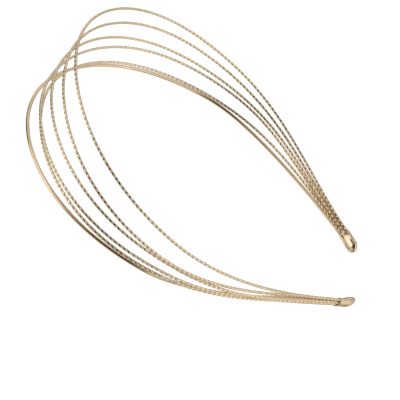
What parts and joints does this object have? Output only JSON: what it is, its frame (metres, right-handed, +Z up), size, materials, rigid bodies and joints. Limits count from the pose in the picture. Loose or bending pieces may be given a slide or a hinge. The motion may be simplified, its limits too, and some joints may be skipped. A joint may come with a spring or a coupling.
{
  "type": "headband",
  "caption": "Wire headband: one smooth and several twisted gold-tone wires fan out over the crown and are clamped together in a small rounded cap at each end.",
  "frame": {"origin": "middle of the bottom of the whole band's box, on the surface that it lies on", "axes": "+Y from the two caps towards the crown, +X towards the right cap, +Z up through the fan of wires, from the smooth wire to the last twisted one"},
  "size_m": [0.12, 0.1534, 0.0411],
  "materials": {
    "smooth_gold": "polished pale gold plate",
    "twisted_gold": "bright pale gold plate on twisted wire",
    "cap_gold": "polished pale gold plate"
  },
  "bodies": {
    "root": {"smooth_wire": "smooth_gold", "twisted_wire_1": "twisted_gold", "twisted_wire_2": "twisted_gold", "twisted_wire_3": "twisted_gold", "twisted_wire_4": "twisted_gold", "twisted_wire_5": "twisted_gold", "right_end_cap": "cap_gold", "left_end_cap": "cap_gold"}
  },
  "joints": []
}
